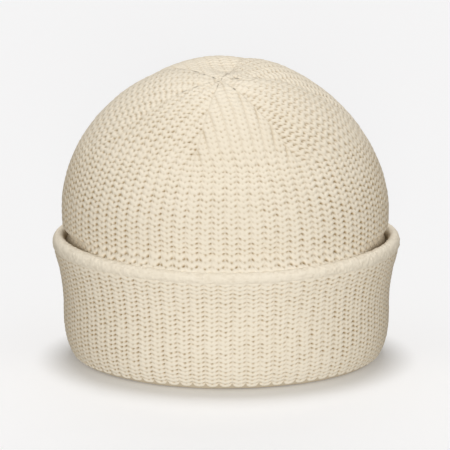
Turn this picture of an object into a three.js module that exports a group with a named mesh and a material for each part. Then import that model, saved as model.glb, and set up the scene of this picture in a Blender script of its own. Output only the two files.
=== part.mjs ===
import * as THREE from 'three';

// A ribbed fisherman beanie with a turned-up cuff, in millimetres.
// It stands on its rim, crown up, with the front toward -Y and the rim at Z = 0.

// Body
const crownWidth = 175.6;
const crownDepth = 154;
const hatHeight = 162.6;
const shoulderHeight = 72;
const knitThickness = 4.6;
const ribDepth = 1.5;
const layerGap = 0.35;

// Crown shaping: the dome leans toward the front and is gathered at its centre
const leanAngle = 10;
const gatherDepth = 4.5;
const gatherRadius = 13;
const gorePuff = 1.1;
const shoulderFullness = 0.085;
const decreaseAngle = 55;
const seamTurn = 12;

// Cuff
const cuffHeight = 67.6;
const weltWidth = 6.4;
const weltHeight = 9.2;
const weltFlare = 5.2;
const rimTuck = 7.3;
const sideSlack = 2.4;

// Rib pattern: a gore is one of the petals that meet at the top
const goreCount = 6;
const ribsPerGore = 13;
const ribFacesPerInnerFace = 3;

const halfRibs = 2 * ribsPerGore;
const ribFaces = goreCount * halfRibs;
const innerFaces = Math.max(12, Math.round(ribFaces / ribFacesPerInnerFace));
const domeHeight = hatHeight - shoulderHeight;
const creamColour = 0xebdfc6;

// Cuff wall from the rim to the welt. up: share of cuffHeight; tuck: share of rimTuck, inward;
// flare: share of weltFlare, outward; rib: share of ribDepth; band: share of knitThickness
// that the layer inside the cuff has at that height.
const cuffRows = [
  { up: 0.0, tuck: 0.82, flare: 0, rib: 0.15, band: 0.45 },
  { up: 0.018, tuck: 0.66, flare: 0, rib: 0.7, band: 0.62 },
  { up: 0.06, tuck: 0.45, flare: 0, rib: 1, band: 0.85 },
  { up: 0.125, tuck: 0.2, flare: 0, rib: 1, band: 1 },
  { up: 0.215, tuck: 0.04, flare: 0, rib: 1, band: 1 },
  { up: 0.34, tuck: 0, flare: 0.06, rib: 1, band: 1 },
  { up: 0.5, tuck: 0, flare: 0, rib: 1, band: 1 },
  { up: 0.7, tuck: 0, flare: 0.32, rib: 1, band: 1 },
];
const cuffShoulderRows = [
  { up: 0.8, tuck: 0, flare: 0.66, rib: 1 },
  { up: 0.86, tuck: 0, flare: 0.86, rib: 0.8 },
];

// Points round the welt's section, in degrees from its outermost point over the top.
const weltAngles = [-28, 8, 42, 76, 112, 148, 184];

// Crown wall between the welt and the shoulder. rise: share of the height from the welt's
// middle to the shoulder; inset: share of the step from the crest line in to the welt;
// slack: share of sideSlack at the two sides.
const neckRows = [
  { rise: 0.0, inset: 1, slack: 1 },
  { rise: 0.42, inset: 0.55, slack: 0.62 },
  { rise: 0.75, inset: 0.14, slack: 0.12 },
];

// Wall of the dome between the shoulder and the first decrease, in degrees from the top.
const shoulderAngles = [90, 81, 72, 63];
const innerDomeAngles = [12, 24, 36, 47, 58, 69, 80, 90];

const radians = (degrees) => degrees * Math.PI / 180;

// A plan angle for a turn from 0 to 1, with equal turns giving nearly equal steps along the
// oval, starting at the seam between two gores.
function planAngle(turn) {
  const w = crownWidth * crownWidth;
  const d = crownDepth * crownDepth;
  const evening = (w - d) / (4 * (w + d));
  const angle = 2 * Math.PI * turn + radians(seamTurn - 180 / goreCount);
  return angle - evening * Math.sin(2 * angle);
}

function wallPoint(turn, height, offset, slack = 0) {
  const angle = planAngle(turn);
  const side = slack * sideSlack * Math.sin(angle) ** 4;
  return [
    (crownWidth / 2 + offset - side) * Math.sin(angle),
    -(crownDepth / 2 + offset) * Math.cos(angle),
    height,
  ];
}

function domePoint(turn, polar, inset) {
  const angle = planAngle(turn);
  const up = Math.cos(polar);
  const round = Math.sin(polar);
  const spread = round * (1 + shoulderFullness * up * round ** 4);
  const gather = gatherDepth * Math.exp(-((polar * crownWidth / 2 / gatherRadius) ** 2));
  const x = (crownWidth / 2 - inset) * spread * Math.sin(angle);
  const y = -(crownDepth / 2 - inset) * spread * Math.cos(angle);
  const z = (domeHeight - inset) * up - gather;
  const lean = radians(leanAngle) * up * (2 - up);
  return [
    x,
    y * Math.cos(lean) - z * Math.sin(lean),
    shoulderHeight + z * Math.cos(lean) + y * Math.sin(lean),
  ];
}

function cuffOuter(row) {
  return row.flare * weltFlare - row.tuck * rimTuck;
}

function cuffInner(row) {
  return Math.max(layerGap / 2 - rimTuck, cuffOuter(row) - knitThickness);
}

const weltMiddle = weltFlare - weltWidth / 2;
const weltLevel = cuffHeight - weltHeight / 2;
const neckOffset = weltMiddle - weltWidth / 2 - layerGap;

// Grows one closed mesh from rings of vertices that are joined in order.
class Shell {
  constructor() {
    this.points = [];
    this.faces = [];
  }

  vertex(point) {
    this.points.push(point);
    return this.points.length - 1;
  }

  ring(count, place) {
    const ids = [];
    for (let k = 0; k < count; k += 1) {
      ids.push(this.vertex(place(k / count, k)));
    }
    return ids;
  }

  point(place) {
    return [this.vertex(place)];
  }

  face(a, b, c) {
    this.faces.push([a, b, c]);
  }

  join(lower, upper) {
    const rows = [lower, upper];
    const steps = rows.map((ids) => (ids.length === 1 ? 0 : ids.length));
    let i = 0;
    let k = 0;
    while (i < steps[0] || k < steps[1]) {
      const a = lower[i % lower.length];
      const c = upper[k % upper.length];
      const nextLower = i < steps[0] ? (i + 1) / steps[0] : Infinity;
      const nextUpper = k < steps[1] ? (k + 1) / steps[1] : Infinity;
      if (nextLower <= nextUpper) {
        this.face(a, lower[(i + 1) % lower.length], c);
        i += 1;
      } else {
        this.face(a, upper[(k + 1) % upper.length], c);
        k += 1;
      }
    }
  }

  joinAll(rings) {
    for (let k = 0; k + 1 < rings.length; k += 1) {
      this.join(rings[k], rings[k + 1]);
    }
  }

  geometry() {
    const positions = this.faces.flat().flatMap((id) => this.points[id]);
    const geometry = new THREE.BufferGeometry();
    geometry.setAttribute('position', new THREE.Float32BufferAttribute(positions, 3));
    geometry.computeVertexNormals();
    return geometry;
  }
}

const isValley = (column) => column % 2 === 0;

// The decreasing part of the dome: row j of a gore keeps the rib lines j to halfRibs - j, and
// the line between two gores takes one rib line from each of them at every row.
function goreRow(shell, j) {
  const polar = radians(decreaseAngle) * (1 - j / ribsPerGore);
  const lines = [];
  for (let gore = 0; gore < goreCount; gore += 1) {
    for (let column = j; column < halfRibs - j; column += 1) {
      const share = (column - j) / (halfRibs - 2 * j);
      const puff = gorePuff * (4 * share * (1 - share) - 0.5) * Math.sin(Math.PI * j / ribsPerGore);
      const relief = column === j || isValley(column) ? ribDepth : 0;
      lines.push(shell.vertex(domePoint((gore + share) / goreCount, polar, relief - puff)));
    }
  }
  return lines;
}

function joinGores(shell, lower, upper, j) {
  const below = halfRibs - 2 * j;
  const above = below - 2;
  for (let gore = 0; gore < goreCount; gore += 1) {
    const a = (k) => lower[(gore * below + k) % lower.length];
    const c = (k) => (above === 0 ? upper[0] : upper[(gore * above + k) % upper.length]);
    shell.face(a(0), a(1), c(0));
    for (let k = 1; k < below - 1; k += 1) {
      shell.face(a(k), a(k + 1), c(k - 1));
      shell.face(a(k + 1), c(k), c(k - 1));
    }
    shell.face(a(below - 1), a(below), c(above));
  }
}

function makeCrown() {
  const shell = new Shell();
  const bandRing = (row, offset) => shell.ring(innerFaces, (turn) => (
    wallPoint(turn, row.up * cuffHeight, offset)));
  const neckRing = (row, faces, inward, ribbed) => shell.ring(faces, (turn, k) => wallPoint(
    turn,
    weltLevel + row.rise * (shoulderHeight - weltLevel),
    row.inset * neckOffset - inward - (ribbed && isValley(k) ? ribDepth : 0),
    row.slack,
  ));

  // Lining side, from the gathered centre down to the rim
  const inner = [shell.point(domePoint(0, 0, knitThickness))];
  for (const degrees of innerDomeAngles) {
    inner.push(shell.ring(innerFaces, (turn) => domePoint(turn, radians(degrees), knitThickness)));
  }
  inner.push(neckRing(neckRows[0], innerFaces, knitThickness, false));
  for (const row of cuffRows.toReversed()) {
    inner.push(bandRing(row, cuffInner(row) - layerGap - row.band * knitThickness));
  }

  // Outer side, from the rim up inside the cuff, past the welt and over the shoulder
  const outer = cuffRows.map((row) => bandRing(row, cuffInner(row) - layerGap));
  outer.push(neckRing(neckRows[0], innerFaces, 0, false));
  for (const row of neckRows.slice(1)) {
    outer.push(neckRing(row, ribFaces, 0, true));
  }
  for (const degrees of shoulderAngles) {
    outer.push(shell.ring(ribFaces, (turn, k) => (
      domePoint(turn, radians(degrees), isValley(k) ? ribDepth : 0))));
  }

  // Gores
  const rows = [];
  for (let j = 0; j < ribsPerGore; j += 1) {
    rows.push(goreRow(shell, j));
  }
  rows.push(shell.point(domePoint(0, 0, ribDepth)));

  shell.joinAll([...inner, ...outer, rows[0]]);
  for (let j = 0; j < ribsPerGore; j += 1) {
    joinGores(shell, rows[j], rows[j + 1], j);
  }
  return shell.geometry();
}

function makeCuff() {
  const shell = new Shell();
  const wallRing = (row) => shell.ring(ribFaces, (turn, k) => wallPoint(
    turn,
    row.up * cuffHeight,
    cuffOuter(row) - (isValley(k) ? row.rib * ribDepth : 0),
  ));
  const outer = [...cuffRows, ...cuffShoulderRows].map(wallRing);
  const welt = weltAngles.map((degrees) => shell.ring(ribFaces / 2, (turn) => wallPoint(
    turn,
    weltLevel + weltHeight / 2 * Math.sin(radians(degrees)),
    weltMiddle + weltWidth / 2 * Math.cos(radians(degrees)),
  )));
  const inner = cuffRows.toReversed().map((row) => shell.ring(innerFaces, (turn) => (
    wallPoint(turn, row.up * cuffHeight, cuffInner(row)))));
  shell.joinAll([...outer, ...welt, ...inner, outer[0]]);
  return shell.geometry();
}

function piece(name, geometry) {
  const material = new THREE.MeshStandardMaterial({
    color: creamColour,
    roughness: 0.95,
    metalness: 0,
    flatShading: true,
  });
  const mesh = new THREE.Mesh(geometry, material);
  mesh.name = name;
  return mesh;
}

const beanie = new THREE.Group();
beanie.name = 'fisherman_beanie';
beanie.add(piece('crown', makeCrown()));
beanie.add(piece('cuff', makeCuff()));

export default beanie;
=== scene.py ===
import math

import bpy
import numpy as np
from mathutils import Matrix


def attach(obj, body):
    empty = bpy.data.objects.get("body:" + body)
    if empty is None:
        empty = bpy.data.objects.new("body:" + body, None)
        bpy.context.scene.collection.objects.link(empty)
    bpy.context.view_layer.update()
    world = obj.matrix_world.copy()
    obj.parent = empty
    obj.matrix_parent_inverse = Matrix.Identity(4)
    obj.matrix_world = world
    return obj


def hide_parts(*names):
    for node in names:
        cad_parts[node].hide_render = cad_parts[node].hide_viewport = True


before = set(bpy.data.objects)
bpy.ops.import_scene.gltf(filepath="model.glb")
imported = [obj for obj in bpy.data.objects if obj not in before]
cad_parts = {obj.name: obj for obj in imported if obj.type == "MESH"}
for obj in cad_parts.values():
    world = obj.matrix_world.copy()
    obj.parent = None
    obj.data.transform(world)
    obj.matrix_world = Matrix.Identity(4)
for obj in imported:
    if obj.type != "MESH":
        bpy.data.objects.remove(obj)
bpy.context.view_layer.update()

MM = 0.001

# Body, in metres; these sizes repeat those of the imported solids
CROWN_WIDTH = 175.6 * MM
CROWN_DEPTH = 154 * MM
HAT_HEIGHT = 162.6 * MM
SHOULDER_HEIGHT = 72 * MM
KNIT_THICKNESS = 4.6 * MM
LAYER_GAP = 0.35 * MM
LEAN_ANGLE = math.radians(10)
GATHER_DEPTH = 4.5 * MM
GATHER_RADIUS = 13 * MM
GORE_PUFF = 1.1 * MM
SHOULDER_FULLNESS = 0.085
DECREASE_ANGLE = math.radians(55)
DOME_HEIGHT = HAT_HEIGHT - SHOULDER_HEIGHT
CUFF_HEIGHT = 67.6 * MM
WELT_WIDTH = 6.4 * MM
WELT_HEIGHT = 9.2 * MM
WELT_FLARE = 5.2 * MM
RIM_TUCK = 7.3 * MM
WELT_MIDDLE = WELT_FLARE - WELT_WIDTH / 2
WELT_LEVEL = CUFF_HEIGHT - WELT_HEIGHT / 2
NECK_OFFSET = WELT_MIDDLE - WELT_WIDTH / 2 - LAYER_GAP

# Crown: pressed onto the welt in front, drawn in behind it at the sides, flatter on the right
FRONT_PRESS = 4.0 * MM
FRONT_PRESS_ANGLES = (math.radians(48), math.radians(66))
FRONT_PRESS_FADE = 9 * MM
LEFT_SLACK = 3.8 * MM
RIGHT_SLACK = 2.2 * MM
FLANK_FLAT = 1.0 * MM
FLANK_POLAR = math.radians(60)
FLANK_SPREAD = math.radians(17)
CROWN_HIDDEN = 2 * MM

# Crown wall between the welt and the shoulder: rise is a share of the height from the welt's
# middle to the shoulder, inset of NECK_OFFSET and slack of the side's slack.
NECK_INSETS = (
    {"rise": -0.2, "inset": 0},
    {"rise": 0, "inset": 0.5},
    {"rise": 0.14, "inset": 0.8},
    {"rise": 0.42, "inset": 0.55},
    {"rise": 0.75, "inset": 0.14},
    {"rise": 1, "inset": 0},
)
NECK_SLACKS = (
    {"rise": 0, "slack": 0},
    {"rise": 0.14, "slack": 0.2},
    {"rise": 0.35, "slack": 0.7},
    {"rise": 0.6, "slack": 0.8},
    {"rise": 0.8, "slack": 0.35},
    {"rise": 1, "slack": 0},
)

# Inside: straight from the rim up to a share of the cuff's height
INNER_OFFSET = -9.55 * MM
INNER_STRAIGHT = 0.6
INNER_LOWEST = 0.3 * MM

# Cuff wall from the rim up: up is a share of the cuff's height, tuck of RIM_TUCK inward and
# flare of WELT_FLARE outward.
CUFF_ROWS = (
    {"up": 0.0, "tuck": 0.82, "flare": 0},
    {"up": 0.018, "tuck": 0.66, "flare": 0},
    {"up": 0.06, "tuck": 0.45, "flare": 0},
    {"up": 0.125, "tuck": 0.2, "flare": 0},
    {"up": 0.215, "tuck": 0.04, "flare": 0},
    {"up": 0.34, "tuck": 0, "flare": 0.06},
    {"up": 0.5, "tuck": 0, "flare": 0},
    {"up": 0.7, "tuck": 0, "flare": 0.32},
    {"up": 0.8, "tuck": 0, "flare": 0.66},
    {"up": 0.86, "tuck": 0, "flare": 0.86},
    {"up": 0.92, "tuck": 0, "flare": 0.9},
)

# Fold under the rim: a plain band with a notch at each valley between two ribs, darkened with painted
# shade as it faces down
FOLD_LOWEST = -0.4 * MM
FOLD_INNER_LEVELS = (0.8 * MM, 6 * MM)
FOLD_BAND = 1.8 * MM
FOLD_NOTCH = 2.2 * MM
FOLD_NOTCH_WIDTH = 0.12
FOLD_BLUR = 0.5 * MM
FOLD_RECESS = 0.6 * MM
FOLD_SHADE = 0.5

# Welt: a roll that dips in front, covered in strands that lean a little, with painted shade in the
# dips of its mottle and on its inner side
WELT_DIP = 3.6 * MM
WELT_SINK = 1.5 * MM
WELT_FROM = math.radians(226)
WELT_TO = math.radians(-52)
WELT_ROWS = 24
WELT_COLUMNS_PER_RIB = 24
WELT_STRANDS_PER_RIB = 4
WELT_STRAND = 0.12 * MM
WELT_LEAN = 0.16
WELT_LEAN_WAVES = 1.3
WELT_LOBE = 0.04 * MM
WELT_UNEVEN = 0.3 * MM
WELT_MOTTLE = 0.3 * MM
WELT_SHADE = 0.2
WELT_INNER_SIDE = math.radians(100)
WELT_INNER_FADE = math.radians(50)

# Shade in the groove between the crown and the welt, at the sides and behind
CREVICE_SHADE = 0.4
CREVICE_TOP = CUFF_HEIGHT + 6 * MM
CREVICE_FADE = 11 * MM

# Ribs and courses. The crown's courses are looser in front and end at TOP_COURSES from the
# tip. Round the cuff the ribs are shifted by up to CUFF_STRETCH of them. LEG_RISE is how far a
# valley's stitches stand above those on the rib's middle, in courses.
RIBS_IN_GORES = (10, 13, 15, 16, 14, 10)
GORES = len(RIBS_IN_GORES)
RIBS = sum(RIBS_IN_GORES)
FIRST_SEAM = math.radians(-14.3)
GORE_REACH = 84.3 * MM
SHOULDER_REACH = GORE_REACH * (math.pi / 2) / DECREASE_ANGLE
CROWN_COURSE = 3.0 * MM
CUFF_COURSE = 2.45 * MM
WALL_COURSE = 3.48 * MM
FRONT_STRETCH = 0.3 * MM
LEVELLING = 5
COURSES_PER_DECREASE = 4.2
TOP_COURSES = 0.4
SEAM_ROOM = 0.04
CUFF_STRETCH = 1.0
CUFF_STRETCH_TURN = math.radians(20)
LEG_RISE = 0.5

# On a flat map of the crown, x to the right and y to the front, where the distance from the
# middle is the distance down from the top: the place where the six gores meet, and the two
# puckers behind it.
GORE_TIP = np.array([-3.1, 22.2]) * MM
PUCKERS = ({"x": -1.6 * MM, "y": 0.0}, {"x": 8 * MM, "y": 0.0})
PUCKER_HEIGHT = 0.9 * MM
PUCKER_RADIUS = 3.2 * MM

# Where a rib's columns of points stand, from one valley to the next, and where a course's
# rows of points stand, from one groove to the next.
FINE_COLUMNS = (0, 0.065, 0.13, 0.2, 0.29, 0.39, 0.5, 0.61, 0.71, 0.8, 0.87, 0.935)
FINE_ROWS = (-0.5, -0.36, -0.18, 0, 0.18, 0.36)
COARSE_COLUMNS = (0, 0.18, 0.5, 0.82)
COARSE_ROWS = (-0.5, -0.17, 0.17)

# Depths of the stitches' forms, in metres: the rounding of a strand, the valley between two
# ribs, the pair of holes beside the valley and the hole in the middle of the rib.
CROWN_STITCH = {"strand": 0.24 * MM, "valley": 0.2 * MM, "pair": 1.5 * MM, "middle": 1.15 * MM}
CUFF_STITCH = {"strand": 0.1 * MM, "valley": 0.15 * MM, "pair": 1.2 * MM, "middle": 1.4 * MM}
INNER_STITCH = {"strand": 0.5 * MM, "valley": 1.0 * MM, "pair": 0.0, "middle": 0.4 * MM}
DEEPEST_PIT = 2.6 * MM
SHALLOWEST_PIT = 0.3 * MM
STRAND_LOSS = 0.35

# Holes in front and at the hat's two sides, in ribs: how far the pair stand from the valley,
# how wide they are, and how wide the hole in the middle of the rib is. All are as high as
# GROOVE_WIDTH, in courses.
PAIR_APART = {"front": 0.14, "side": 0.03}
PAIR_WIDTH = {"front": 0.085, "side": 0.125}
MIDDLE_WIDTH = {"front": 0.09, "side": 0.12}
GROOVE_WIDTH = 0.14

# Random strength of each hole, from the weakest of its kind to the strongest
WEAKEST = {"left": 0.55, "right": 0.2, "middle": 0.35}
STRONGEST = 1.25
TABLE_COURSES = 120

# How deep the holes at the left, the right and the middle of a stitch are in each gore, as a
# share of those below the gores, how deep the crease is where a rib ends at its seam and how
# strong the lines between its ribs are.
GORE_HOLES = (
    {"left": 0.35, "right": 0.3, "middle": 0.75, "crease": 0.8, "line": 1.0},
    {"left": 1.15, "right": 0.9, "middle": 1.3, "crease": 0.5, "line": 0.1},
    {"left": 1.3, "right": 1.1, "middle": 1.3, "crease": 0.4, "line": 0.2},
    {"left": 0.9, "right": 0.9, "middle": 1.0, "crease": 0.4, "line": 0.2},
    {"left": 0.9, "right": 1.0, "middle": 1.0, "crease": 0.4, "line": 0.2},
    {"left": 1.3, "right": 0.6, "middle": 1.4, "crease": 0.3, "line": 0.2},
)
GORE_FADE = 5
HOLES_UP = 0.65
HOLES_DOWN = 1.1

# At the two sides the holes that face the front are deeper. On the crown this grows between
# two distances from the top.
SIDE_HOLES = 0.65
SIDE_MIDDLE = 0.25
SIDE_START = 30 * MM
SIDE_END = 105 * MM

# Seams between the gores, creases where ribs end at them, and lines between ribs, each with painted
# shade in it
SEAM_DEPTH = 0.25 * MM
SEAM_WIDTH = 0.12
SEAM_SHADE = 0.15
CREASE_DEPTH = 0.8 * MM
CREASE_REACH = 1.3
CREASE_SPREAD = 0.02
CREASE_COURSES = 3
CREASE_SHADE = 0.5
LINE_DEPTH = 0.3 * MM
LINE_SHADE = 0.08
LINE_SHARPNESS = 8

# The tip where the gores meet: pinched, mottled with painted shade in the mottle's dips, and with
# smaller holes round it
PINCH_DEPTH = 0.6 * MM
PINCH_RADIUS = 6 * MM
TIP_RADIUS = 24 * MM
TIP_MOTTLE = 0.4 * MM
TIP_MOTTLE_COURSES = 4
TIP_SHADE = 0.04
TIP_CLOSING = 0.6

# Unevenness: sideways in ribs, upward in courses, outward in metres. The cuff reads the same
# noise as the crown, some ribs further on.
SEED = 11
RIB_SWAY = 0.07
CROWN_DRIFT = 0.13
CUFF_DRIFT = 0.12
CROWN_UNEVEN = {"broad": 0.3 * MM, "lumps": 0.12 * MM}
CUFF_UNEVEN = {"broad": 0.22 * MM, "lumps": 0.1 * MM}
CUFF_SWAY_SHIFT = 17
CUFF_DRIFT_SHIFT = 31
WELT_SHIFT = 9
CUFF_TOP_HOLES = 0.4
CUFF_TOP_COURSES = 4

# Painted shade, on the way from the cream of the yarn, 0, to the brown of shade in its holes, 1: in
# the holes and valleys, at the hat's two sides and over the dome's front
VALLEY_SHADE = 0.1
DARKEST = 1.2
SIDE_SOFTENING = 0.45
SIDE_SHADE = 0.35
SIDE_EDGE_SHADE = 0.13
DOME_FRONT_SHADE = 0.07
DOME_FRONT_SHADE_REACH = 66 * MM
DOME_FRONT_SHADE_SPREAD = 26 * MM

CREAM_LIGHT = (0.86, 0.785, 0.655)
CREAM_DARK = (0.81, 0.73, 0.59)
# brown of the painted shade in holes, valleys, creases, grooves and under the rim
PAINTED_SHADE_BROWN = (0.31, 0.2, 0.068)
FLOOR_COLOUR = (0.937, 0.937, 0.937)
FLOOR_GLOW = 0.107
SKY_COLOUR = (1, 0.97, 0.92)
SKY_STRENGTH = 0.33
WHITE = (1, 1, 1)
COOL = (0.97, 0.985, 1.03)
LIGHTS = (
    {"name": "key", "energy": 2.66, "elevation": 4, "heading": 0, "softness": 14, "colour": WHITE},
    {"name": "top", "energy": 1.26, "elevation": 82, "heading": 180, "softness": 20, "colour": COOL},
    {"name": "back", "energy": 0.4, "elevation": 40, "heading": 180, "softness": 40, "colour": WHITE},
)

# Steps for working out normals, and the distance under which two points are one
LENGTH_STEP = 0.8 * MM
TURN_STEP = 1e-4
ROLL_STEP = 0.02
MERGE_STEP = 0.005 * MM
NEARLY_ZERO = 1e-12

rng = np.random.default_rng(SEED)


def eased(x):
    """0 up to x = 0 and 1 from x = 1 on, with a smooth rise between them."""
    x = np.clip(x, 0, 1)
    return x * x * (3 - 2 * x)


def bell(distance, width):
    """1 at distance 0, falling smoothly toward 0 on both sides."""
    return np.exp(-(distance / width) ** 2)


def column_at(table, key, name, place):
    """A column of a table at places along its key column."""
    return np.interp(place, [row[key] for row in table], [row[name] for row in table])


def plan_angle(turn):
    """Angle in plan for a turn from 0 to 1, with equal turns nearly equal steps on the oval."""
    w = CROWN_WIDTH ** 2
    d = CROWN_DEPTH ** 2
    evening = (w - d) / (4 * (w + d))
    angle = 2 * math.pi * turn + FIRST_SEAM
    return angle - evening * np.sin(2 * angle)


def wall_point(angle, height, offset, slack=0.0):
    side = slack * np.where(np.sin(angle) > 0, RIGHT_SLACK, LEFT_SLACK) * np.sin(angle) ** 4
    x = (CROWN_WIDTH / 2 + offset - side) * np.sin(angle)
    y = -(CROWN_DEPTH / 2 + offset) * np.cos(angle)
    return np.stack([x, y, height + 0 * x], axis=-1)


def dome_point(angle, polar, inset):
    up = np.cos(polar)
    around = np.sin(polar)
    spread = around * (1 + SHOULDER_FULLNESS * up * around ** 4)
    gather = GATHER_DEPTH * bell(polar * CROWN_WIDTH / 2, GATHER_RADIUS)
    x = (CROWN_WIDTH / 2 - inset) * spread * np.sin(angle)
    y = -(CROWN_DEPTH / 2 - inset) * spread * np.cos(angle)
    z = (DOME_HEIGHT - inset) * up - gather
    lean = LEAN_ANGLE * up * (2 - up)
    tilted_y = y * np.cos(lean) - z * np.sin(lean)
    tilted_z = SHOULDER_HEIGHT + z * np.cos(lean) + y * np.sin(lean)
    return np.stack([x, tilted_y, tilted_z], axis=-1)


def beside(angle):
    """1 round the sides and the back, where the crown stands off the welt, and 0 in front."""
    near, far = FRONT_PRESS_ANGLES
    return eased((np.abs(angle) - near) / (far - near))


def map_polar(x, y):
    """For a place on the flat map: its angle in plan, its angle from the top as far as the
    shoulder, how far it lies below the shoulder, and whether it does."""
    angle = np.arctan2(x, y)
    polar = np.hypot(x, y) / GORE_REACH * DECREASE_ANGLE
    past = polar - math.pi / 2
    below = np.maximum(past, 0) * GORE_REACH / DECREASE_ANGLE
    return angle, polar, below, (past > 0)[..., None]


def crown_outside(x, y):
    """Crown surface at a place on the flat map of the crown."""
    angle, polar, below, on_wall = map_polar(x, y)
    flat = FLANK_FLAT * (1 + bell(polar - FLANK_POLAR, FLANK_SPREAD))
    flat = flat * np.maximum(np.sin(angle), 0) ** 2 * eased((polar - FLANK_SPREAD) / FLANK_SPREAD)
    dome = dome_point(angle, np.minimum(polar, math.pi / 2), flat)
    rise = 1 - below / (SHOULDER_HEIGHT - WELT_LEVEL)
    inset = column_at(NECK_INSETS, "rise", "inset", rise) * NECK_OFFSET
    slack = column_at(NECK_SLACKS, "rise", "slack", rise)
    press = FRONT_PRESS * (1 - beside(angle)) * eased(below / FRONT_PRESS_FADE)
    wall = wall_point(angle, SHOULDER_HEIGHT - below, inset + press - flat, slack)
    return np.where(on_wall, wall, dome)


def crown_inside(x, y):
    """Inner surface at a place on the flat map, down past the shoulder to the rim."""
    angle, polar, below, on_wall = map_polar(x, y)
    dome = dome_point(angle, np.minimum(polar, math.pi / 2), KNIT_THICKNESS)
    step = eased(below / (SHOULDER_HEIGHT - INNER_STRAIGHT * CUFF_HEIGHT))
    offset = -KNIT_THICKNESS + (INNER_OFFSET + KNIT_THICKNESS) * step
    wall = wall_point(angle, SHOULDER_HEIGHT - below, offset)
    return np.where(on_wall, wall, dome)


def rounded(points, times=3):
    """A path with its corners cut off several times."""
    path = np.array(points, float)
    for _ in range(times):
        early = 0.75 * path[:-1] + 0.25 * path[1:]
        late = 0.25 * path[:-1] + 0.75 * path[1:]
        middle = np.stack([early, late], axis=1).reshape(-1, 2)
        path = np.vstack([path[:1], middle, path[-1:]])
    return path


def cuff_path():
    """The cuff's section from under the welt, down and round the fold to its inside."""
    points = [
        (row["flare"] * WELT_FLARE - row["tuck"] * RIM_TUCK, row["up"] * CUFF_HEIGHT)
        for row in reversed(CUFF_ROWS)
    ]
    rim = points[-1][0]
    points.append((rim + (INNER_OFFSET - rim) / 2, FOLD_LOWEST))
    points += [(INNER_OFFSET, level) for level in FOLD_INNER_LEVELS]
    return rounded(points)


CUFF_PATH = cuff_path()
CUFF_STEPS = np.hypot(*np.diff(CUFF_PATH, axis=0).T)
CUFF_REACH = np.concatenate([[0], np.cumsum(CUFF_STEPS)])


def cuff_outside(turn, reach):
    """Cuff surface at a distance from under the welt, measured down the wall."""
    offset = np.interp(reach, CUFF_REACH, CUFF_PATH[:, 0])
    height = np.interp(reach, CUFF_REACH, CUFF_PATH[:, 1])
    return wall_point(plan_angle(turn), height, offset)


def welt_surface(turn, roll):
    """The rolled welt's surface at an angle round its section."""
    angle = plan_angle(turn)
    front = np.maximum(np.cos(angle), 0) ** 2
    top = CUFF_HEIGHT - WELT_DIP * front
    bottom = CUFF_HEIGHT - WELT_HEIGHT - WELT_SINK * front ** 2
    offset = WELT_MIDDLE + WELT_WIDTH / 2 * np.cos(roll)
    height = (top + bottom) / 2 + (top - bottom) / 2 * np.sin(roll)
    return wall_point(angle, height, offset)


def normals(surface, a, b, step_a, step_b):
    """Unit normals of a surface by small steps in both directions."""
    across = surface(a + step_a, b) - surface(a - step_a, b)
    along = surface(a, b + step_b) - surface(a, b - step_b)
    normal = np.cross(along, across)
    return normal / np.maximum(np.linalg.norm(normal, axis=-1, keepdims=True), NEARLY_ZERO)


class Unevenness:
    """Smooth noise from -1 to 1 over the ribs, closing on itself round the hat."""

    rows = 90
    first_row = 40
    fewest_cells = 3

    def __init__(self, ribs_per_cell, courses_per_cell):
        self.cells = max(self.fewest_cells, round(RIBS / ribs_per_cell))
        self.courses = courses_per_cell
        self.values = rng.uniform(-1, 1, (self.cells, self.rows))

    def __call__(self, rib, course):
        a = rib / RIBS * self.cells
        b = course / self.courses + self.first_row
        i = np.floor(a).astype(int)
        k = np.floor(b).astype(int)
        s = eased(a - i)
        t = eased(b - k)

        def at(p, q):
            return self.values[(i + p) % self.cells, (k + q) % self.rows]

        low = at(0, 0) * (1 - s) + at(1, 0) * s
        high = at(0, 1) * (1 - s) + at(1, 1) * s
        return low * (1 - t) + high * t


def new_tables():
    """Random strengths of the three kinds of hole, for each rib and course."""
    size = (RIBS, TABLE_COURSES)
    return {hole: rng.uniform(weakest, STRONGEST, size) for hole, weakest in WEAKEST.items()}


crown_tables = new_tables()
cuff_tables = new_tables()
broad = Unevenness(9, 8)
sway = Unevenness(2.5, 5)
drift = Unevenness(3, 2.5)
lumps = Unevenness(0.9, 1.1)
fine = Unevenness(0.33, 0.5)
grain = Unevenness(0.2, 0.15)


def uneven(amounts, rib, course):
    return amounts["broad"] * broad(rib, course) + amounts["lumps"] * lumps(rib, course)


def rib_wave(rib):
    """1 in the valley between two ribs, 0 on the middle of a rib."""
    return np.abs(2 * (rib - np.floor(rib)) - 1)


def between(size, side):
    """A size between that in front, where side is 0, and that at the sides, where it is 1."""
    return size["front"] + (size["side"] - size["front"]) * side


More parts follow.
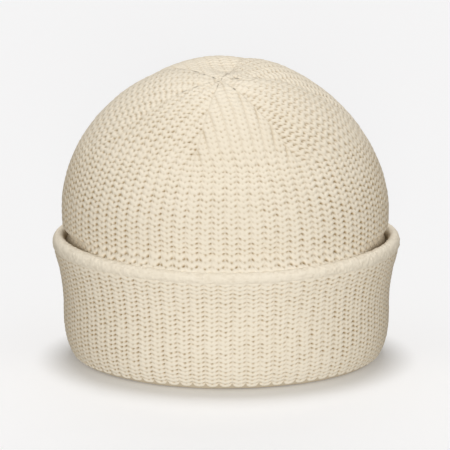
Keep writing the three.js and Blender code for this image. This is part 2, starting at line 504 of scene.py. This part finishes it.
def stitch_relief(rib, course, stitch, tables, holes, side):
    """Height of the knit over its base and its painted shade there, from 0 up, darker in its holes
    and valleys.

    side is 1 at the hat's two sides, where the stitches are pulled open, and 0 in front.
    """
    valley = np.floor(rib + 0.5)
    aside = rib - valley
    wave = 1 - 2 * np.abs(aside)
    in_course = course - np.round(course)
    in_groove = bell(0.5 - np.abs(in_course), GROOVE_WIDTH)
    strand = 0.5 + 0.5 * np.cos(2 * math.pi * in_course)

    row = (np.floor(course) + TABLE_COURSES // 2).astype(int) % TABLE_COURSES
    beside_valley = valley.astype(int) % RIBS
    on_rib = np.floor(rib).astype(int) % RIBS
    left = tables["left"][beside_valley, row] * holes["left"]
    right = tables["right"][beside_valley, row] * holes["right"]
    middle = tables["middle"][on_rib, row] * holes["middle"]
    pair = np.where(aside < 0, left, right) * in_groove
    pair = pair * bell(np.abs(aside) - between(PAIR_APART, side), between(PAIR_WIDTH, side))
    middle = middle * in_groove * bell(0.5 - np.abs(aside), between(MIDDLE_WIDTH, side))
    pit = stitch["pair"] * pair + stitch["middle"] * middle

    height = stitch["strand"] * (strand - 1) * (1 - STRAND_LOSS * pair)
    height = height - stitch["valley"] * wave ** 3
    height = height - DEEPEST_PIT * np.tanh(pit / DEEPEST_PIT)
    deepest = max(stitch["pair"], stitch["middle"], SHALLOWEST_PIT)
    # painted shade in the holes and in the valleys between ribs
    painted_shade = np.maximum(pit / deepest, 0) ** (1 - SIDE_SOFTENING * side) + VALLEY_SHADE * wave ** 8
    # more painted shade at the hat's two sides, and brown painted shade at the far sides where the
    # light falls off
    painted_shade = np.clip(painted_shade, 0, DARKEST) * (1 + SIDE_SHADE * side) + SIDE_EDGE_SHADE * side ** 4
    return height, painted_shade


def side_at(rib):
    """From -1 at the hat's left to 1 at its right."""
    return np.sin(plan_angle(rib / RIBS))


def holes_at(side):
    """Shares of the holes' depths: those that face the front are deeper at the two sides."""
    deeper = 1 + SIDE_MIDDLE * side ** 2
    return {
        "left": (1 - SIDE_HOLES * side) * deeper,
        "right": (1 + SIDE_HOLES * side) * deeper,
        "middle": deeper,
    }


def map_point(turn, reach):
    """A place on the flat map of the crown for a turn and a distance from the middle."""
    angle = plan_angle(turn)
    return np.stack([np.sin(angle), np.cos(angle)], axis=-1) * np.asarray(reach)[..., None]


def wall_reach(turn, courses, last, lowest):
    """Distance from the top for courses below the gores, which are looser in front.

    The last course lies level, at the lowest distance, all the way round.
    """
    course = WALL_COURSE + FRONT_STRETCH * np.cos(plan_angle(turn))

    def free_reach(count):
        easing = COURSES_PER_DECREASE * (1 - np.exp(-count / COURSES_PER_DECREASE))
        return GORE_REACH + course * count - (course - CROWN_COURSE) * easing

    return free_reach(courses) + (lowest - free_reach(last)) * (courses / last) ** LEVELLING


class GoreSheet:
    """The net of one gore, from its lowest course up to the tip where the six gores meet.

    Lines count the courses down from the gore's first decrease. Above it the ribs run side by
    side up to the two seams, so a row of the net holds the ribs that are still between the
    seams, and a point on each seam.
    """

    def __init__(self, gore, columns, rows, lowest_reach):
        self.gore = gore
        self.count = RIBS_IN_GORES[gore]
        self.half = self.count / 2
        self.first_rib = sum(RIBS_IN_GORES[:gore])
        self.left = map_point(self.first_rib / RIBS, GORE_REACH)
        self.right = map_point((self.first_rib + self.count) / RIBS, GORE_REACH)
        height = np.linalg.norm((self.left + self.right) / 2 - GORE_TIP)
        self.courses = height / CROWN_COURSE
        self.lowest = lowest_reach
        self.last = math.ceil((lowest_reach - GORE_REACH) / WALL_COURSE)
        self.ribs = []
        self.lines = []
        self.rises = []
        self.faces = []
        grid = [i + c for i in range(self.count) for c in columns] + [self.count]
        self.grid = np.array(grid, float)
        self.fill(rows)
        self.ribs = np.array(self.ribs)
        self.lines = np.array(self.lines)
        self.rises = np.array(self.rises)
        self.faces = np.array(self.faces)

    def fill(self, rows):
        """Adds the rows from the lowest up, and the tip."""
        highest = TOP_COURSES - self.courses + LEG_RISE / 2
        courses = range(self.last, -int(self.courses) - 1, -1)
        lower = None
        for line in [k + f for k in courses for f in reversed(rows)]:
            if highest <= line <= self.last:
                upper = self.row(line)
                if lower is not None:
                    self.join(lower, upper)
                lower = upper
        tip = self.add(self.half, -self.courses + LEG_RISE / 2, LEG_RISE / 2)
        for k in range(len(lower) - 1):
            self.faces.append((lower[k], lower[k + 1], tip))

    def add(self, rib, line, rise):
        self.ribs.append(rib)
        self.lines.append(line)
        self.rises.append(rise)
        return len(self.ribs) - 1

    def depth(self, rib, line):
        """How many ribs a place lies inside the gore's nearer seam."""
        level = line - LEG_RISE / 2
        above = self.half * (1 + level / self.courses)
        below = self.half + level / COURSES_PER_DECREASE
        return np.where(level < 0, above, below) - np.abs(rib - self.half)

    def row(self, line):
        """Points of one row, from seam to seam."""
        free = np.clip(self.depth(self.grid, line), 0, 1)
        rise = LEG_RISE * (rib_wave(self.grid) * free + 0.5 * (1 - free))
        rise = rise * min(self.last - line, 1)
        if line >= LEG_RISE / 2:
            return [self.add(c, line, r) for c, r in zip(self.grid, rise)]
        room = float(self.depth(self.half, line))
        kept = np.abs(self.grid - self.half) < room - SEAM_ROOM
        ids = [self.add(self.half - room, line, LEG_RISE / 2)]
        ids += [self.add(c, line, r) for c, r in zip(self.grid[kept], rise[kept])]
        ids.append(self.add(self.half + room, line, LEG_RISE / 2))
        return ids

    def places(self, ribs, levels):
        """Where ribs and levels lie on the flat map; a level is counted as lines are."""
        level = np.maximum(levels, -self.courses)
        up = np.clip(1 + level / self.courses, 1e-6, 1)
        share = np.where(level < 0, 0.5 + (ribs - self.half) / (self.count * up), ribs / self.count)
        share = np.where(level < 0, np.clip(share, 0, 1), share)
        turn = (self.first_rib + share * self.count) / RIBS
        reach = wall_reach(turn, np.maximum(level, 0), self.last, self.lowest)
        curved = map_point(turn, reach)
        straight = self.left + (self.right - self.left) * share[..., None]
        mixing = np.where(level < 0, 1 - up ** 2, 0)[..., None]
        edge = straight * mixing + curved * (1 - mixing)
        return GORE_TIP + (edge - GORE_TIP) * up[..., None]

    def join(self, lower, upper):
        """Triangles between two rows, each from seam to seam."""
        i = 0
        k = 0
        while i < len(lower) - 1 or k < len(upper) - 1:
            next_lower = self.ribs[lower[i + 1]] if i < len(lower) - 1 else math.inf
            next_upper = self.ribs[upper[k + 1]] if k < len(upper) - 1 else math.inf
            if next_lower <= next_upper:
                self.faces.append((lower[i], lower[i + 1], upper[k]))
                i += 1
            else:
                self.faces.append((lower[i], upper[k + 1], upper[k]))
                k += 1


def gore_holes(sheet, side, in_gore, near_tip):
    """Shares of the holes' depths: the gore's own above its first decrease."""
    own = GORE_HOLES[sheet.gore]
    lower = HOLES_UP + (HOLES_DOWN - HOLES_UP) * np.clip(sheet.lines / sheet.last, 0, 1)
    closing = 1 - TIP_CLOSING * near_tip
    return {
        hole: (below * lower * (1 - in_gore) + own[hole] * in_gore) * closing
        for hole, below in holes_at(side).items()
    }


def press_seams(sheet, rib, inside, in_gore, height, painted_shade):
    """The relief with a gore's creases, the lines between its ribs and its seams in it, and the
    painted shade in each.
    """
    own = GORE_HOLES[sheet.gore]
    valley = rib_wave(sheet.ribs)
    above = np.clip(-sheet.lines, 0, 1)
    crease = eased(CREASE_REACH - inside) * np.exp(-(valley - 1) ** 2 / CREASE_SPREAD) * above
    crease = crease * (0.5 + 0.5 * lumps(rib, sheet.lines / CREASE_COURSES)) * own["crease"]
    line = own["line"] * in_gore * valley ** LINE_SHARPNESS * np.clip(2 * inside, 0, 1)
    height = height - LINE_DEPTH * line - CREASE_DEPTH * crease
    # painted shade in the lines between ribs and in the creases
    painted_shade = painted_shade + LINE_SHADE * line + CREASE_SHADE * crease
    seam = (1 - eased(inside / SEAM_WIDTH)) * above
    height = height * (1 - seam) - SEAM_DEPTH * seam
    # painted shade along the seams
    painted_shade = painted_shade * (1 - seam) + SEAM_SHADE * seam
    return height, painted_shade


def gore_form(sheet, inside):
    """How far a gore swells between its seams."""
    room = np.maximum(inside + np.abs(sheet.ribs - sheet.half), 0.01)
    across = np.clip((sheet.ribs - sheet.half) / room, -1, 1)
    up = np.clip(-sheet.lines / sheet.courses, 0, 1)
    return GORE_PUFF * (0.5 - across ** 2) * np.sin(math.pi * up)


def pucker_form(x, y):
    """Height of the puckers at a place on the flat map."""
    return PUCKER_HEIGHT * sum(
        bell(np.hypot(x - pucker["x"], y - pucker["y"]), PUCKER_RADIUS) for pucker in PUCKERS)


def gore_points(sheet, surface, stitch, tables, outward):
    """Points of one gore on a surface, with the knit's relief and its painted shade on them."""
    inside = sheet.depth(sheet.ribs, sheet.lines)
    free = np.clip(inside, 0, 1)
    rib = sheet.first_rib + sheet.ribs
    moved = sheet.ribs + RIB_SWAY * sway(rib, sheet.lines) * free
    level = sheet.lines - sheet.rises + CROWN_DRIFT * drift(rib, sheet.lines) * free
    x, y = sheet.places(moved, level).T
    reach = np.hypot(x, y)
    from_tip = np.hypot(x - GORE_TIP[0], y - GORE_TIP[1])
    near_tip = bell(from_tip, TIP_RADIUS)
    in_gore = eased(-sheet.lines / GORE_FADE)

    side = side_at(rib) * eased((reach - SIDE_START) / (SIDE_END - SIDE_START))
    holes = gore_holes(sheet, side, in_gore, near_tip)
    height, painted_shade = stitch_relief(rib, sheet.lines, stitch, tables, holes, side ** 2)
    height, painted_shade = press_seams(sheet, rib, inside, in_gore, height, painted_shade)
    mottle = grain(rib, sheet.lines / TIP_MOTTLE_COURSES)
    height = height + pucker_form(x, y) + uneven(CROWN_UNEVEN, rib, sheet.lines) * free
    height = height + gore_form(sheet, inside) - PINCH_DEPTH * bell(from_tip, PINCH_RADIUS)
    height = height + TIP_MOTTLE * near_tip * mottle

    base = surface(x, y)
    # painted shade over the front of the dome
    over_front = bell(reach - DOME_FRONT_SHADE_REACH, DOME_FRONT_SHADE_SPREAD) * np.clip(y / DOME_FRONT_SHADE_REACH, 0, 1)
    # painted shade in the dips of the mottle near the tip
    painted_shade = painted_shade + DOME_FRONT_SHADE * over_front + TIP_SHADE * near_tip * np.clip(-mottle, 0, 1)
    # painted shade on the crown in the groove behind the welt, at the sides and behind
    behind = eased((CREVICE_TOP - base[:, 2]) / CREVICE_FADE) * beside(np.arctan2(x, y))
    painted_shade = painted_shade + (CREVICE_SHADE - painted_shade) * behind
    normal = normals(surface, x, y, LENGTH_STEP, LENGTH_STEP)
    points = base + normal * (height * outward)[:, None]
    yarn = np.stack([rib, sheet.lines, painted_shade], axis=-1)
    return points, yarn, sheet.faces[:, ::outward]


def joined(parts):
    """Several (points, yarn, faces) as one, with points that coincide made one."""
    points = np.vstack([p for p, _, _ in parts])
    yarn = np.vstack([y for _, y, _ in parts])
    starts = np.cumsum([0] + [len(p) for p, _, _ in parts[:-1]])
    faces = np.vstack([f + s for (_, _, f), s in zip(parts, starts)])
    keys = np.round(points / MERGE_STEP).astype(np.int64)
    _, first, back = np.unique(keys, axis=0, return_index=True, return_inverse=True)
    faces = back.reshape(-1)[faces]
    whole = (faces[:, 0] != faces[:, 1]) & (faces[:, 1] != faces[:, 2]) & (faces[:, 0] != faces[:, 2])
    return points[first], yarn[first], faces[whole]


def net(columns, rows):
    """Triangles of a net of points, rows from the top down and columns to the right."""
    ids = np.arange(columns * rows).reshape(rows, columns)
    a, b = ids[:-1, :-1].ravel(), ids[:-1, 1:].ravel()
    c, d = ids[1:, :-1].ravel(), ids[1:, 1:].ravel()
    return np.vstack([np.stack([a, c, b], 1), np.stack([b, c, d], 1)])


def make_piece(name, points, yarn, faces, slot, node, material):
    mesh = bpy.data.meshes.new(name)
    mesh.from_pydata(points.tolist(), [], faces.tolist())
    mesh.polygons.foreach_set("use_smooth", np.ones(len(mesh.polygons), bool))
    attribute = mesh.attributes.new("yarn", "FLOAT_VECTOR", "POINT")
    attribute.data.foreach_set("vector", yarn.astype(np.float32).ravel())
    mesh.materials.append(material)
    mesh.update()
    obj = bpy.data.objects.new(name, mesh)
    bpy.context.scene.collection.objects.link(obj)
    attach(obj, "root")
    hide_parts(node)


def node_of(tree, kind, **values):
    """A new node with its settings and the constant values of its sockets."""
    node = tree.nodes.new(kind)
    for name, value in values.items():
        if hasattr(node, name):
            setattr(node, name, value)
        else:
            node.inputs[name].default_value = value
    return node


def knit_material(name, light, dark, painted_shade_colour):
    """Cream yarn with a cloudy tone, brown painted shade where the yarn attribute's third value asks
    for it, and a bump of fibres.
    """
    material = bpy.data.materials.new(name)
    material.use_nodes = True
    tree = material.node_tree
    tree.nodes.clear()
    link = tree.links.new
    out = tree.nodes.new("ShaderNodeOutputMaterial")
    cloth = tree.nodes.new("ShaderNodeBsdfPrincipled")
    cloth.inputs["Roughness"].default_value = 0.92
    cloth.inputs["Specular IOR Level"].default_value = 0.0
    link(cloth.outputs["BSDF"], out.inputs["Surface"])

    place = tree.nodes.new("ShaderNodeTexCoord")
    cloudy = node_of(tree, "ShaderNodeTexNoise", Scale=70.0, Detail=4.0)
    link(place.outputs["Object"], cloudy.inputs["Vector"])
    shade = node_of(tree, "ShaderNodeMix", data_type="RGBA")
    shade.inputs["A"].default_value = (*light, 1)
    shade.inputs["B"].default_value = (*dark, 1)
    link(cloudy.outputs["Fac"], shade.inputs["Factor"])

    # the yarn attribute's third value is the painted shade, mixing the cream toward the brown
    yarn = node_of(tree, "ShaderNodeAttribute", attribute_name="yarn")
    parts = tree.nodes.new("ShaderNodeSeparateXYZ")
    link(yarn.outputs["Vector"], parts.inputs["Vector"])
    strength = node_of(tree, "ShaderNodeMath", operation="MULTIPLY", use_clamp=True)
    strength.inputs[1].default_value = 0.95
    link(parts.outputs["Z"], strength.inputs[0])
    depth = node_of(tree, "ShaderNodeMix", data_type="RGBA")
    depth.inputs["B"].default_value = (*painted_shade_colour, 1)
    link(strength.outputs["Value"], depth.inputs["Factor"])
    link(shade.outputs["Result"], depth.inputs["A"])
    link(depth.outputs["Result"], cloth.inputs["Base Color"])

    fibres = node_of(tree, "ShaderNodeTexNoise", Scale=1500.0, Detail=3.0)
    link(place.outputs["Object"], fibres.inputs["Vector"])
    bump = node_of(tree, "ShaderNodeBump", Strength=0.35, Distance=0.3 * MM)
    link(fibres.outputs["Fac"], bump.inputs["Height"])
    link(bump.outputs["Normal"], cloth.inputs["Normal"])
    return material


def floor_material():
    """White paper that glows a little."""
    material = bpy.data.materials.new("floor_paper")
    material.use_nodes = True
    surface = material.node_tree.nodes["Principled BSDF"]
    surface.inputs["Base Color"].default_value = (*FLOOR_COLOUR, 1)
    surface.inputs["Roughness"].default_value = 1.0
    surface.inputs["Specular IOR Level"].default_value = 0.0
    surface.inputs["Emission Color"].default_value = (1, 1, 1, 1)
    surface.inputs["Emission Strength"].default_value = FLOOR_GLOW
    return material


def make_crown(material):
    lowest = SHOULDER_REACH + SHOULDER_HEIGHT - WELT_LEVEL + CROWN_HIDDEN
    for first in range(0, GORES, 2):
        parts = []
        for gore in (first, first + 1):
            sheet = GoreSheet(gore, FINE_COLUMNS, FINE_ROWS, lowest)
            parts.append(gore_points(sheet, crown_outside, CROWN_STITCH, crown_tables, 1))
        name = "crown_knit_%d" % (first // 2 + 1)
        make_piece(name, *joined(parts), "crown_knit", "crown", material)


def make_inside(material):
    lowest = SHOULDER_REACH + SHOULDER_HEIGHT - INNER_LOWEST
    for first in range(0, GORES, 3):
        parts = []
        for gore in range(first, first + 3):
            sheet = GoreSheet(gore, COARSE_COLUMNS, COARSE_ROWS, lowest)
            parts.append(gore_points(sheet, crown_inside, INNER_STITCH, crown_tables, -1))
        name = "inner_knit_%d" % (first // 3 + 1)
        make_piece(name, *joined(parts), "crown_knit", "crown", material)


def under_rim(ribs, base):
    """1 on the plain band under the rim and in its notches, 0 above it."""
    aside = ribs - np.round(ribs)
    edge = FOLD_BAND + FOLD_NOTCH * bell(aside, FOLD_NOTCH_WIDTH)
    return eased((edge - base[..., 2]) / FOLD_BLUR)


def make_cuff(material):
    courses = range(1, int(CUFF_REACH[-1] / CUFF_COURSE))
    lines = np.array([k + f for k in courses for f in FINE_ROWS])
    half = RIBS // 2
    for number in range(2):
        grid = [number * half + i + c for i in range(half) for c in FINE_COLUMNS]
        ribs, rows = np.meshgrid(np.array(grid + [(number + 1) * half], float), lines)
        lifted = rows - LEG_RISE * rib_wave(ribs) + CUFF_DRIFT * drift(ribs + CUFF_DRIFT_SHIFT, rows)
        reach = lifted * CUFF_COURSE
        wider = CUFF_STRETCH * np.sin(2 * math.pi * ribs / RIBS + CUFF_STRETCH_TURN)
        turn = (ribs + wider + RIB_SWAY * sway(ribs + CUFF_SWAY_SHIFT, rows)) / RIBS
        depth = CUFF_TOP_HOLES + (1 - CUFF_TOP_HOLES) * eased(rows / CUFF_TOP_COURSES)
        side = side_at(ribs)
        holes = {hole: share * depth for hole, share in holes_at(side).items()}
        height, painted_shade = stitch_relief(ribs, rows, CUFF_STITCH, cuff_tables, holes, side ** 2)
        base = cuff_outside(turn, reach)
        under = under_rim(ribs, base)
        height = height * (1 - under) - FOLD_RECESS * under + uneven(CUFF_UNEVEN, ribs, rows)
        # painted shade on the band under the rim and in its notches
        painted_shade = painted_shade * (1 - under) + FOLD_SHADE * under
        normal = normals(cuff_outside, turn, reach, TURN_STEP, LENGTH_STEP)
        points = base + normal * height[..., None]
        points[..., 2] = np.maximum(points[..., 2], 0)
        yarn = np.stack([ribs, rows, painted_shade], axis=-1)
        faces = net(ribs.shape[1], ribs.shape[0])
        name = "cuff_knit_%d" % (number + 1)
        make_piece(
            name, points.reshape(-1, 3), yarn.reshape(-1, 3), faces, "cuff_knit", "cuff", material)


def make_welt(material):
    """The rolled edge: strands laid side by side over the roll."""
    columns = np.arange(RIBS * WELT_COLUMNS_PER_RIB + 1) / WELT_COLUMNS_PER_RIB
    ribs, roll = np.meshgrid(columns, np.linspace(WELT_FROM, WELT_TO, WELT_ROWS))
    lean = WELT_LEAN * np.sin(roll * WELT_LEAN_WAVES)
    strand = np.cos(2 * math.pi * WELT_STRANDS_PER_RIB * (ribs + lean)) * fine(ribs, roll * 1.5)
    mottled = 0.5 * fine(ribs + WELT_SHIFT, roll * 2) + 0.7 * grain(ribs, roll)
    height = WELT_STRAND * strand - WELT_LOBE * np.cos(2 * math.pi * ribs)
    height = height + WELT_UNEVEN * broad(ribs, roll * 3) + WELT_MOTTLE * mottled
    turn = ribs / RIBS
    normal = -normals(welt_surface, turn, roll, TURN_STEP, ROLL_STEP)
    points = welt_surface(turn, roll) + normal * height[..., None]
    # painted shade on the welt's inner side, in the groove at the sides and behind
    inner_side = eased((roll - WELT_INNER_SIDE) / WELT_INNER_FADE)
    painted_shade = CREVICE_SHADE * inner_side * beside(plan_angle(turn))
    # painted shade in the dips of the welt's mottle
    painted_shade = np.maximum(painted_shade, WELT_SHADE * np.clip(-mottled, 0, 1))
    yarn = np.stack([ribs, roll, painted_shade], axis=-1)
    faces = net(ribs.shape[1], ribs.shape[0])
    parts = [(points.reshape(-1, 3), yarn.reshape(-1, 3), faces)]
    make_piece("welt_roll", *joined(parts), "cuff_knit", "cuff", material)


def make_floor():
    mesh = bpy.data.meshes.new("floor")
    reach = 30.0
    corners = [(-reach, -reach, 0), (reach, -reach, 0), (reach, reach, 0), (-reach, reach, 0)]
    mesh.from_pydata(corners, [], [(0, 1, 2, 3)])
    floor = bpy.data.objects.new("floor", mesh)
    mesh.materials.append(floor_material())
    bpy.context.scene.collection.objects.link(floor)
    floor.visible_diffuse = False


def make_light():
    world = bpy.data.worlds.new("studio")
    bpy.context.scene.world = world
    world.use_nodes = True
    sky = world.node_tree.nodes["Background"]
    sky.inputs["Color"].default_value = (*SKY_COLOUR, 1)
    sky.inputs["Strength"].default_value = SKY_STRENGTH
    for lamp in LIGHTS:
        light = bpy.data.lights.new(lamp["name"], "SUN")
        light.energy = lamp["energy"]
        light.color = lamp["colour"]
        light.angle = math.radians(lamp["softness"])
        sun = bpy.data.objects.new(lamp["name"], light)
        sun.rotation_euler = (math.radians(90 - lamp["elevation"]), 0, math.radians(lamp["heading"]))
        bpy.context.scene.collection.objects.link(sun)


def make_camera():
    distance = 1150 * MM
    aim_height = 70.7 * MM
    elevation = math.radians(12.5)
    data = bpy.data.cameras.new("camera")
    data.sensor_width = 36
    data.lens = 171.1
    data.shift_x = -0.0029
    data.clip_end = 100
    camera = bpy.data.objects.new("camera", data)
    camera.location = (
        0, -distance * math.cos(elevation), aim_height + distance * math.sin(elevation))
    camera.rotation_euler = (math.pi / 2 - elevation, 0, 0)
    bpy.context.scene.collection.objects.link(camera)
    bpy.context.scene.camera = camera


bpy.context.scene.view_settings.view_transform = "Standard"
make_camera()
make_floor()
make_light()
knit = knit_material("cream_knit", CREAM_LIGHT, CREAM_DARK, PAINTED_SHADE_BROWN)
make_crown(knit)
make_inside(knit)
make_cuff(knit)
make_welt(knit)
